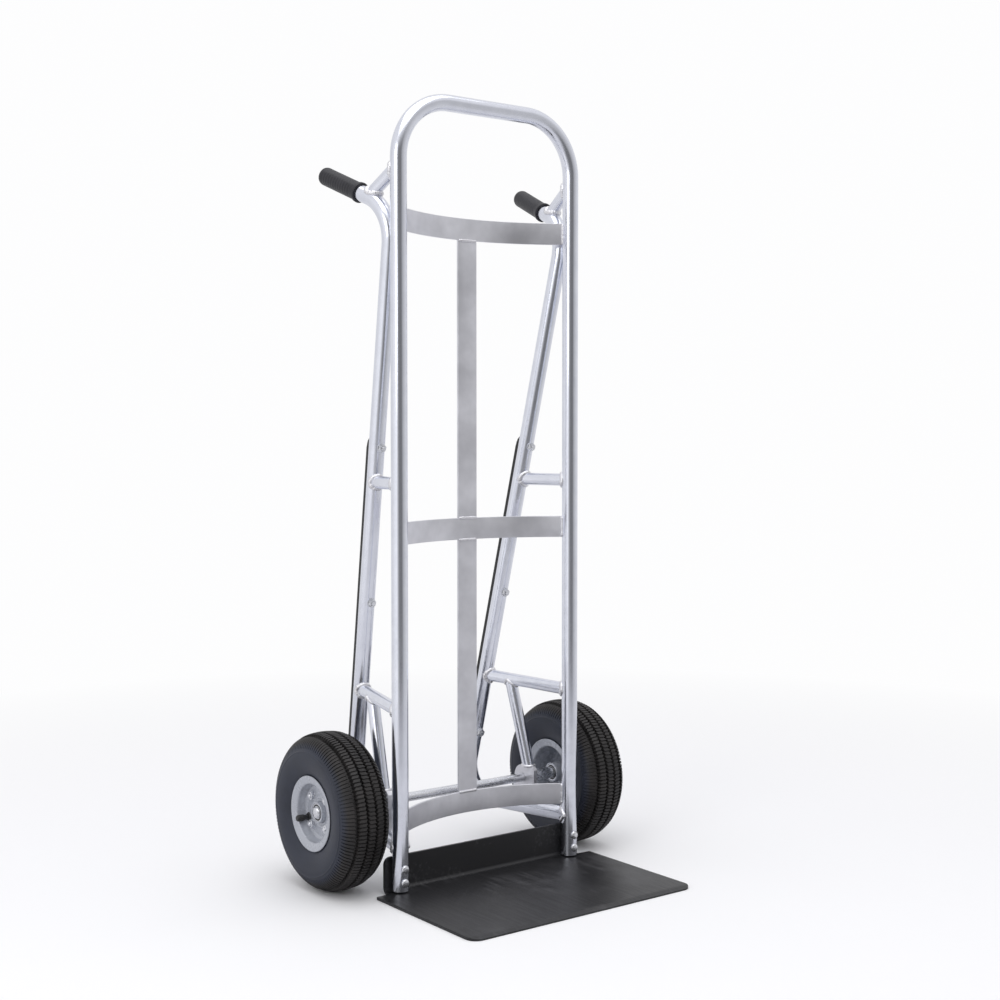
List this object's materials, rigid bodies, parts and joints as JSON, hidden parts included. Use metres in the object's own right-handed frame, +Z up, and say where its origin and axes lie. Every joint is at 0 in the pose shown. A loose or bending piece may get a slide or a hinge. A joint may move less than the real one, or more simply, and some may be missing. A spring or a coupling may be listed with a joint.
{
  "type": "hand truck",
  "caption": "Upright hand truck with a tubular loop frame, rear struts with grips, a flat nose plate and air-filled tyres for moving boxes.",
  "frame": {"origin": "centre of the bounding box on the floor plane, midway between the wheels", "axes": "+Z up; +X to the right of someone standing behind the load side and facing the handles; -Y towards the load, +Y towards the handles"},
  "size_m": [0.61, 0.5182, 1.3426],
  "materials": {
    "polished_tube": "bright drawn tube",
    "brushed_bar": "satin brushed flat bar",
    "plate_steel": "black powder coat, scuffed on top",
    "zinc_steel": "zinc plated",
    "wheel_paint": "silver grey paint",
    "tyre_rubber": "satin sidewall, matte tread",
    "grip_rubber": "semi-matte moulded",
    "valve_rubber": "smooth black",
    "strip_plastic": "smooth black"
  },
  "bodies": {
    "frame": {"loop_frame": "polished_tube", "upper_crossbar": "brushed_bar", "middle_crossbar": "brushed_bar", "lower_crossbar": "brushed_bar", "upper_centre_strap": "brushed_bar", "lower_centre_strap": "brushed_bar", "nose_plate": "plate_steel", "axle": "zinc_steel", "axle_cap_left": "zinc_steel", "axle_spacer_left": "zinc_steel", "bearing_inner_race_outboard_left": "zinc_steel", "bearing_inner_race_inboard_left": "zinc_steel", "axle_cap_right": "zinc_steel", "axle_spacer_right": "zinc_steel", "bearing_inner_race_outboard_right": "zinc_steel", "bearing_inner_race_inboard_right": "zinc_steel", "rear_strut_left": "polished_tube", "grip_left": "grip_rubber", "handle_brace_left": "polished_tube", "upper_spacer_left": "polished_tube", "lower_spacer_left": "polished_tube", "axle_brace_left": "polished_tube", "axle_bracket_left": "brushed_bar", "nose_bolt_lower_left": "zinc_steel", "nose_bolt_upper_left": "zinc_steel", "skid_strip_left": "strip_plastic", "skid_bolt_1_left": "zinc_steel", "skid_bolt_2_left": "zinc_steel", "skid_bolt_3_left": "zinc_steel", "rear_strut_right": "polished_tube", "grip_right": "grip_rubber", "handle_brace_right": "polished_tube", "upper_spacer_right": "polished_tube", "lower_spacer_right": "polished_tube", "axle_brace_right": "polished_tube", "axle_bracket_right": "brushed_bar", "nose_bolt_lower_right": "zinc_steel", "nose_bolt_upper_right": "zinc_steel", "skid_strip_right": "strip_plastic", "skid_bolt_1_right": "zinc_steel", "skid_bolt_2_right": "zinc_steel", "skid_bolt_3_right": "zinc_steel"},
    "left_wheel": {"tyre_left": "tyre_rubber", "inner_tube_left": "tyre_rubber", "valve_stem_left": "valve_rubber", "valve_cap_left": "valve_rubber", "rim_outboard_half_left": "wheel_paint", "rim_inboard_half_left": "wheel_paint", "hub_left": "wheel_paint", "bearing_outer_race_outboard_left": "zinc_steel", "bearing_outer_race_inboard_left": "zinc_steel"},
    "right_wheel": {"tyre_right": "tyre_rubber", "inner_tube_right": "tyre_rubber", "valve_stem_right": "valve_rubber", "valve_cap_right": "valve_rubber", "rim_outboard_half_right": "wheel_paint", "rim_inboard_half_right": "wheel_paint", "hub_right": "wheel_paint", "bearing_outer_race_outboard_right": "zinc_steel", "bearing_outer_race_inboard_right": "zinc_steel"}
  },
  "joints": [
    {"name": "left_wheel_spin", "type": "hinge", "parent": "frame", "child": "left_wheel", "pos_m": [-0.258, 0.1149, 0.134], "axis": [1, 0, 0], "continuous": true},
    {"name": "right_wheel_spin", "type": "hinge", "parent": "frame", "child": "right_wheel", "pos_m": [0.258, 0.1149, 0.134], "axis": [1, 0, 0], "continuous": true}
  ]
}
